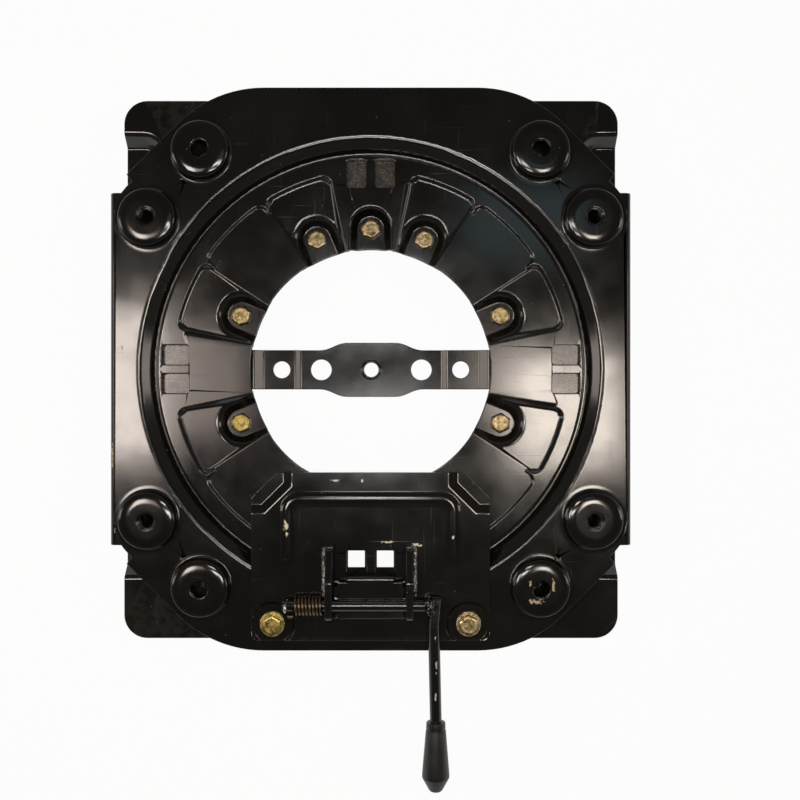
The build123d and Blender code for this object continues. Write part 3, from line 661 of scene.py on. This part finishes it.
earWeld = {"radius": 0.0021, "flat": 0.62, "pitch": 0.00135, "count": 26,
           "start": (-0.0330, -0.1622, 0.0323), "toRight": 0.0647,
           "voxel": 0.0003, "grain": 0.0016, "depth": 0.0011, "smooth": 60}
leverWeld = {"lumps": [((0.0424, -0.1685, 0.0397), (0.0044, 0.0068, 0.0068)),
                       ((0.0408, -0.1655, 0.0432), (0.0032, 0.0030, 0.0028)),
                       ((0.0432, -0.1722, 0.0428), (0.0030, 0.0034, 0.0026)),
                       ((0.0462, -0.1645, 0.0420), (0.0034, 0.0026, 0.0030))],     # place and half sizes
             "voxel": 0.0004, "grain": 0.0030, "depth": 0.0016, "smooth": 60}


def roughen(obj, weld):
    spatter = bpy.data.textures.new(obj.name + "Spatter", "CLOUDS")
    spatter.noise_scale = weld["grain"]
    applyModifier(obj, "REMESH", mode="VOXEL", voxel_size=weld["voxel"])
    applyModifier(obj, "DISPLACE", texture=spatter, strength=weld["depth"], mid_level=0.5,
                  texture_coords="LOCAL")
    applyModifier(obj, "SMOOTH", iterations=2, factor=0.4)
    smoothBy(obj, weld["smooth"])


def makeEarWelds():
    deselectAll()
    bpy.ops.mesh.primitive_uv_sphere_add(segments=16, ring_count=10, radius=earWeld["radius"])
    leftBead = bpy.context.object
    leftBead.scale = (1, earWeld["flat"], 1)
    leftBead.location = earWeld["start"]
    settle(leftBead)
    applyModifier(leftBead, "ARRAY", count=earWeld["count"], use_relative_offset=False,
                  use_constant_offset=True, constant_offset_displace=(0, earWeld["pitch"], 0))
    roughen(leftBead, earWeld)
    rightBead = copyOf(leftBead, "rightBead")
    rightBead.location = (earWeld["toRight"], 0, 0)
    settle(rightBead)
    return joined("earWelds", [leftBead, rightBead])


def makeLeverWeld():
    deselectAll()
    bpy.ops.mesh.primitive_uv_sphere_add(segments=20, ring_count=12, radius=1)
    drop = bpy.context.object
    lumps = []
    for place, size in leverWeld["lumps"]:
        lump = copyOf(drop, "weldLump")
        lump.location = place
        lump.scale = size
        settle(lump)
        lumps.append(lump)
    bpy.data.objects.remove(drop)
    blob = joined("leverWeld", lumps)
    roughen(blob, leverWeld)
    return blob


dress(makeEarWelds(), weldSteel, "turntable", "bare_steel", "ear_welds")
dress(makeLeverWeld(), rodPaint, "latch", "black_paint", "lever_weld")
print("welds made")


# torsion spring: round wire wound on the shaft, one leg down on the panel, one up

spring = {"axis": (-0.0344, -0.1685, 0.0397), "coil": 0.0062, "wire": 0.0010, "pitch": 0.0025, "turns": 8,
          "sides": 14, "steps": 32, "down": 0.0085, "up": 0.0080, "corner": 0.0006, "hook": 0.0025,
          "hookTurn": 45, "endReach": 0.0015, "smooth": 50}


def makeSpring():
    deselectAll()
    bpy.ops.mesh.primitive_circle_add(vertices=spring["sides"], radius=spring["wire"],
                                      location=(0, -spring["coil"], 0))
    coil = bpy.context.object
    settle(coil)
    applyModifier(coil, "SCREW", axis="X", angle=-2 * math.pi, screw_offset=-spring["pitch"],
                  iterations=spring["turns"], steps=spring["steps"], render_steps=spring["steps"],
                  use_merge_vertices=False)
    endX = -spring["pitch"] * spring["turns"]

    def ringAt(x):
        return lambda e: e.is_boundary and all(abs(v.co.x - x) < spring["endReach"] for v in e.verts)

    selectWhere(coil, ringAt(0), "EDGE")
    drawOut(0, 0, -spring["down"])
    bpy.ops.mesh.edge_face_add()
    selectWhere(coil, ringAt(endX), "EDGE")
    drawOut(0, 0, spring["up"] - spring["wire"])
    drawOut(-spring["corner"], 0, spring["wire"])
    bpy.ops.transform.rotate(value=math.radians(spring["hookTurn"]), orient_axis="Y",
                             center_override=(endX - spring["corner"], -spring["coil"], spring["up"]))
    drawOut(-spring["hook"], 0, 0)
    bpy.ops.mesh.edge_face_add()
    bpy.ops.mesh.select_all(action="SELECT")
    bpy.ops.mesh.normals_make_consistent(inside=False)
    bpy.ops.object.mode_set(mode="OBJECT")
    coil.name = "torsionSpring"
    coil.location = spring["axis"]
    settle(coil)
    smoothBy(coil, spring["smooth"])
    return coil


dress(makeSpring(), springWire, "turntable", "spring_steel", "torsion_spring")


# split pin: round eye over the shaft, two thin legs that part below it

pin = {"x": -0.0595, "y": -0.1685, "z": 0.0397, "wire": 0.0011, "eye": 0.0024, "squeeze": 0.85,
       "tail": 0.0070, "trim": 0.001, "leg": 0.62, "apart": 0.5,     # leg radius and offset, of the wire's
       "bends": 4, "bendStep": 0.0008, "bendLean": 18, "smooth": 40}


def makeSplitPin():
    deselectAll()
    bpy.ops.mesh.primitive_torus_add(major_segments=32, minor_segments=12, major_radius=pin["eye"],
                                     minor_radius=pin["wire"], rotation=(0, math.pi / 2, 0),
                                     location=(pin["x"], pin["y"], pin["z"] + pin["tail"] + pin["eye"]))
    eye = bpy.context.object
    eye.scale = (pin["squeeze"], 1, 1)
    settle(eye)
    bpy.ops.mesh.primitive_cylinder_add(vertices=12, radius=pin["wire"] * pin["leg"],
                                        depth=2 * (pin["tail"] - pin["trim"]),
                                        location=(pin["x"], pin["y"] + pin["wire"] * pin["apart"],
                                                  pin["z"] + pin["trim"]))
    rearLeg = bpy.context.object
    settle(rearLeg)
    selectWhere(rearLeg, lambda f: f.normal.z < -facing)
    for step in range(pin["bends"]):
        lean = math.radians(pin["bendLean"] * (step + 1))
        drawOut(0, pin["bendStep"] * math.sin(lean), -pin["bendStep"] * math.cos(lean))
    bpy.ops.object.mode_set(mode="OBJECT")
    frontLeg = copyOf(rearLeg, "frontLeg")
    frontLeg.rotation_euler = (0, 0, math.pi)
    frontLeg.location = (2 * pin["x"], 2 * pin["y"], 0)
    settle(frontLeg)
    splitPin = joined("splitPin", [eye, rearLeg, frontLeg])
    smoothBy(splitPin, pin["smooth"])
    return splitPin


dress(makeSplitPin(), bareSteel, "latch", "bare_steel", "split_pin")
print("spring and split pin made")


# lever grip: a straight-sided moulding with a collar at its neck

grip = {
    "place": (0.0468, -0.252, 0.03386), "slope": 4.0, "sides": 48,
    "soften": 0.0004, "softenAbove": 14, "smooth": 30,
    "profile": [(0.0, 0.0062), (0.0005, 0.0068), (0.0048, 0.0070), (0.0051, 0.0066), (0.0058, 0.0066),
                (0.0061, 0.0072), (0.0380, 0.0098), (0.0405, 0.0098), (0.0492, 0.0052), (0.0506, 0.0040),
                (0.0510, 0.0026)],   # distance from the neck and radius
}


def makeGrip():
    handle = turnedProfile("leverGrip", [(radius, along) for along, radius in grip["profile"]], grip["sides"])
    selectWhere(handle, lambda e: e.is_boundary, "EDGE")
    bpy.ops.mesh.fill_holes(sides=0)
    bpy.ops.mesh.select_all(action="SELECT")
    bpy.ops.mesh.normals_make_consistent(inside=False)
    bpy.ops.object.mode_set(mode="OBJECT")
    applyModifier(handle, "BEVEL", width=grip["soften"], segments=3, limit_method="ANGLE",
                  angle_limit=math.radians(grip["softenAbove"]))
    handle.location = grip["place"]
    handle.rotation_euler = (math.radians(90 + grip["slope"]), 0, 0)
    settle(handle)
    smoothBy(handle, grip["smooth"])
    return handle


dress(makeGrip(), gripPlastic, "latch", "grip_plastic", "lever_grip")
print("grip made")


# floor, light and camera

studio = {
    "floorSize": 14.0, "floorDrop": 0.0004, "backdrop": 1.4,
    "floorColor": (0.86, 0.86, 0.86), "floorRough": 0.7, "whiteShare": 0.95,
    "dim": (0.080, 0.075, 0.070), "band": (0.17, 0.16, 0.15),
    "bandLow": (0.10, 0.30), "bandHigh": (0.80, 0.62),     # z of a direction where the band fades in and out
    "panels": {                      # place, size along x and y, tilt about y, radiance, colour
        "leftPanel": ((-0.575, 0.01, 1.53), (0.24, 0.30), 0, 21.0, (1.0, 0.88, 0.80)),
        "leftHaze": ((-0.372, 0.015, 1.54), (0.16, 0.21), 0, 5.0, (1.0, 0.83, 0.74)),
        "rightPanel": ((0.350, -0.045, 1.53), (0.22, 0.22), 0, 23.0, (1.0, 0.89, 0.78)),
        "rightHaze": ((0.212, 0.02, 1.54), (0.055, 0.15), 0, 8.0, (1.0, 0.84, 0.74)),
        "middlePanel": ((-0.03, -0.030, 1.53), (0.24, 0.07), 0, 2.6, (1.0, 0.99, 0.96)),
        "ceilingRear": ((-0.015, 0.117, 0.83), (0.13, 0.048), 0, 32.0, (1.0, 0.97, 0.92)),
        "ceilingFront": ((-0.015, -0.069, 0.83), (0.14, 0.046), 0, 30.0, (1.0, 0.97, 0.92)),
        "coolPanel": ((0.27, 0.33, 1.53), (0.24, 0.14), 0, 0.8, (0.62, 0.92, 1.0)),
        "rightStrip": ((1.9, 0.05, 1.2), (0.9, 0.5), 57.7, 4.5, (1.0, 0.86, 0.78)),
        "leftStrip": ((-1.9, 0.05, 1.2), (0.9, 0.5), -57.7, 4.5, (1.0, 0.86, 0.78)),
    },
}
view = {"place": (0.0212, -0.0223, 0.8862), "lens": 53.7, "sensor": 36.0}


def floorMaterial():
    material, tree, shader = startMaterial("paleFloor", studio["floorColor"], 0.0, studio["floorRough"])
    rays = addNode(tree, "ShaderNodeLightPath")
    seen = combine(tree, "MAXIMUM", rays.outputs["Is Camera Ray"], rays.outputs["Is Transmission Ray"])
    seen = combine(tree, "MAXIMUM", seen, rays.outputs["Is Glossy Ray"])
    white = addNode(tree, "ShaderNodeEmission", Strength=1.0)
    mixed = addNode(tree, "ShaderNodeMixShader")
    tree.links.new(combine(tree, "MULTIPLY", seen, studio["whiteShare"]), mixed.inputs["Fac"])
    tree.links.new(shader.outputs["BSDF"], mixed.inputs[1])
    tree.links.new(white.outputs["Emission"], mixed.inputs[2])
    tree.links.new(mixed.outputs["Shader"], tree.nodes["Material Output"].inputs["Surface"])
    return material


def makeFloor():
    # a wide floor whose rim stands up as a low backdrop
    deselectAll()
    bpy.ops.mesh.primitive_plane_add(size=studio["floorSize"], location=(0, 0, -studio["floorDrop"]))
    floor = bpy.context.object
    floor.name = "paleFloor"
    settle(floor)
    selectWhere(floor, lambda e: e.is_boundary, "EDGE")
    drawOut(0, 0, studio["backdrop"])
    bpy.ops.object.mode_set(mode="OBJECT")
    floor.data.materials.append(floorMaterial())


def makeWorld():
    # a dim room with a paler band between floor and ceiling
    world = bpy.data.worlds.new("studioWorld")
    bpy.context.scene.world = world
    world.use_nodes = True
    tree = world.node_tree
    coords = addNode(tree, "ShaderNodeTexCoord")
    split = addNode(tree, "ShaderNodeSeparateXYZ")
    tree.links.new(coords.outputs["Generated"], split.inputs["Vector"])
    band = combine(tree, "MULTIPLY", spread(tree, split.outputs["Z"], *studio["bandLow"]),
                   spread(tree, split.outputs["Z"], *studio["bandHigh"]))
    room = blendColor(tree, band, studio["dim"], studio["band"])
    tree.links.new(room, tree.nodes["Background"].inputs["Color"])


def areaLight(name, place, size, tilt, radiance, color):
    deselectAll()
    bpy.ops.object.light_add(type="AREA", location=place)
    lamp = bpy.context.object
    lamp.name = name
    lamp.rotation_euler = (0, math.radians(tilt), 0)
    lamp.data.shape = "RECTANGLE"
    lamp.data.size, lamp.data.size_y = size
    lamp.data.energy = radiance * math.pi * size[0] * size[1]
    lamp.data.color = color


def makeCamera():
    deselectAll()
    bpy.ops.object.camera_add(location=view["place"], rotation=(0, 0, 0))
    camera = bpy.context.object
    camera.data.lens = view["lens"]
    camera.data.sensor_width = view["sensor"]
    bpy.context.scene.camera = camera


makeFloor()
makeWorld()
for name, values in studio["panels"].items():
    areaLight(name, *values)
makeCamera()
bpy.context.scene.view_settings.view_transform = "Standard"
print("studio ready")
